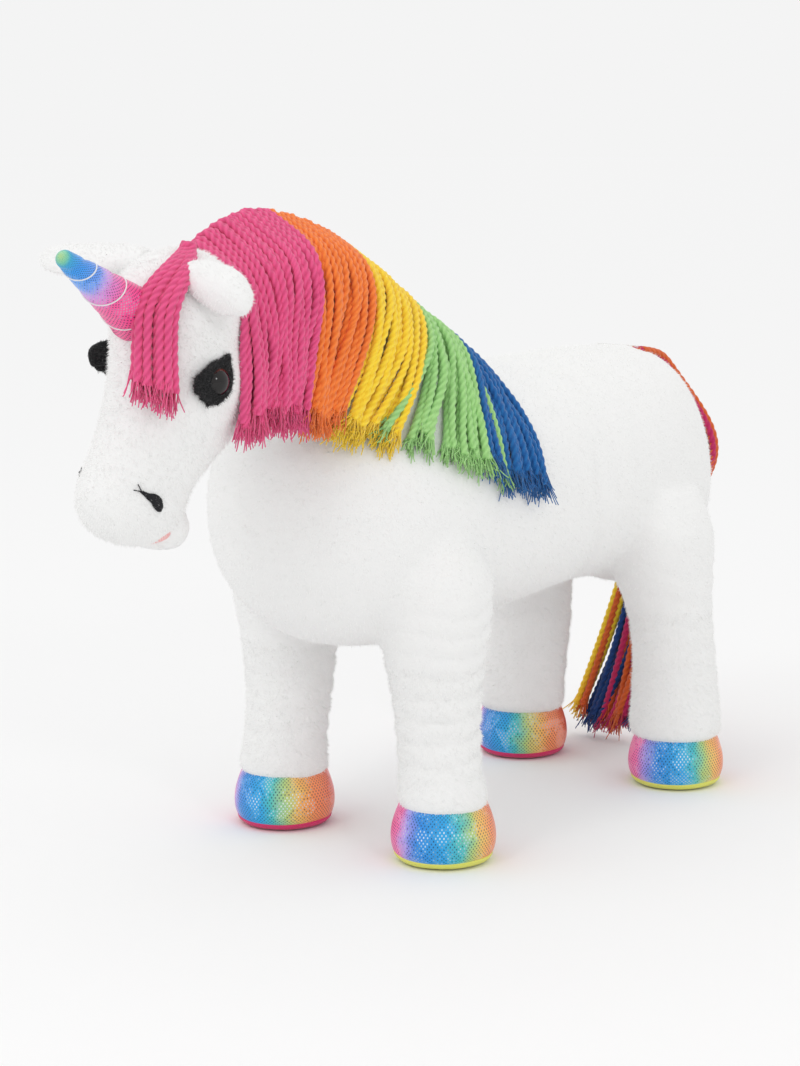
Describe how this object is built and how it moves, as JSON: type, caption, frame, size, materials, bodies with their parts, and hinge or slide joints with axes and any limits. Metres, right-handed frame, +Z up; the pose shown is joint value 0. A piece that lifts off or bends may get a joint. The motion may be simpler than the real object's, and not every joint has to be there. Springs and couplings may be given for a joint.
{
  "type": "plush unicorn",
  "caption": "Standing plush unicorn with a stuffed horn, cord mane and tail, floppy ears, a turning and nodding head and swinging legs.",
  "frame": {"origin": "on the standing surface, under the centre of the whole toy", "axes": "+Z up, -Y the way the unicorn faces, +X its own left side"},
  "size_m": [0.2198, 0.6443, 0.3976],
  "materials": {
    "white_plush": "short pile, matt and soft",
    "fibre_filling": "loose polyester fibre",
    "frame_steel": "drawn steel wire, satin",
    "sewing_tape": "woven cotton tape",
    "pink_cord": "twisted cotton cord",
    "orange_cord": "twisted cotton cord",
    "yellow_cord": "twisted cotton cord",
    "green_cord": "twisted cotton cord",
    "blue_cord": "twisted cotton cord",
    "mouth_fabric": "brushed knit, matt",
    "eye_gloss": "polished, dark with a red-brown rim",
    "washer_plastic": "moulded, matt",
    "black_felt": "fuzzy felt",
    "black_thread": "satin stitch",
    "dotted_foil": "foil-dotted fabric in rainbow colours, shiny dots",
    "white_thread": "sewing thread",
    "crimson_sole": "short knit",
    "lime_sole": "short knit"
  },
  "bodies": {
    "torso": {"side_panel_left": "white_plush", "side_panel_right": "white_plush", "belly_gusset": "white_plush", "body_stuffing": "fibre_filling", "body_frame": "frame_steel", "tail_tape": "sewing_tape"},
    "neck": {"neck_panel_left": "white_plush", "neck_panel_right": "white_plush", "neck_stuffing": "fibre_filling", "neck_wire": "frame_steel", "crest_tape": "sewing_tape", "mane_pink": "pink_cord", "mane_orange": "orange_cord", "mane_yellow": "yellow_cord", "mane_green": "green_cord", "mane_blue": "blue_cord"},
    "head": {"head_panel_left": "white_plush", "head_panel_right": "white_plush", "head_gusset": "white_plush", "head_stuffing": "fibre_filling", "head_wire": "frame_steel", "lower_lip": "white_plush", "mouth_lining": "mouth_fabric", "eye_left": "eye_gloss", "eye_right": "eye_gloss", "eye_washers": "washer_plastic", "lash_patches": "black_felt", "nostril_embroidery": "black_thread", "forelock": "pink_cord", "horn_cover": "dotted_foil", "horn_stuffing": "fibre_filling", "horn_thread": "white_thread"},
    "ear_left": {"ear_left": "white_plush"},
    "ear_right": {"ear_right": "white_plush"},
    "tail": {"tail_pink": "pink_cord", "tail_orange": "orange_cord", "tail_yellow": "yellow_cord", "tail_blue": "blue_cord"},
    "leg_front_left": {"front_left_skin": "white_plush", "front_left_stuffing": "fibre_filling", "front_left_wire": "frame_steel", "front_left_hoof": "dotted_foil", "front_left_sole": "lime_sole"},
    "leg_front_right": {"front_right_skin": "white_plush", "front_right_stuffing": "fibre_filling", "front_right_wire": "frame_steel", "front_right_hoof": "dotted_foil", "front_right_sole": "crimson_sole"},
    "leg_hind_left": {"hind_left_skin": "white_plush", "hind_left_stuffing": "fibre_filling", "hind_left_wire": "frame_steel", "hind_left_hoof": "dotted_foil", "hind_left_sole": "lime_sole"},
    "leg_hind_right": {"hind_right_skin": "white_plush", "hind_right_stuffing": "fibre_filling", "hind_right_wire": "frame_steel", "hind_right_hoof": "dotted_foil", "hind_right_sole": "crimson_sole"}
  },
  "joints": [
    {"name": "neck_turn", "type": "hinge", "parent": "torso", "child": "neck", "pos_m": [0, -0.016, 0.262], "axis": [0, -0.3007, 0.9537], "range_deg": [-30, 18]},
    {"name": "head_nod", "type": "hinge", "parent": "neck", "child": "head", "pos_m": [0.01822, -0.15925, 0.35012], "axis": [0.9661, 0.2054, -0.1564], "range_deg": [-12, 14]},
    {"name": "ear_left_flop", "type": "hinge", "parent": "head", "child": "ear_left", "pos_m": [0.06341, -0.20178, 0.36882], "axis": [0.2079, -0.9781, 0], "range_deg": [-16, 35]},
    {"name": "ear_right_flop", "type": "hinge", "parent": "head", "child": "ear_right", "pos_m": [0.00158, -0.21493, 0.37883], "axis": [0.2079, -0.9781, 0], "range_deg": [-35, 16]},
    {"name": "tail_swing", "type": "hinge", "parent": "torso", "child": "tail", "pos_m": [0, 0.256, 0.3], "axis": [1, 0, 0], "range_deg": [0, 55]},
    {"name": "leg_front_left_swing", "type": "hinge", "parent": "torso", "child": "leg_front_left", "pos_m": [0.068, -0.022, 0.168], "axis": [1, 0, 0], "range_deg": [-12, 12]},
    {"name": "leg_front_right_swing", "type": "hinge", "parent": "torso", "child": "leg_front_right", "pos_m": [-0.068, -0.022, 0.168], "axis": [1, 0, 0], "range_deg": [-12, 12]},
    {"name": "leg_hind_left_swing", "type": "hinge", "parent": "torso", "child": "leg_hind_left", "pos_m": [0.068, 0.23, 0.168], "axis": [1, 0, 0], "range_deg": [-12, 8]},
    {"name": "leg_hind_right_swing", "type": "hinge", "parent": "torso", "child": "leg_hind_right", "pos_m": [-0.068, 0.23, 0.168], "axis": [1, 0, 0], "range_deg": [-12, 8]}
  ]
}
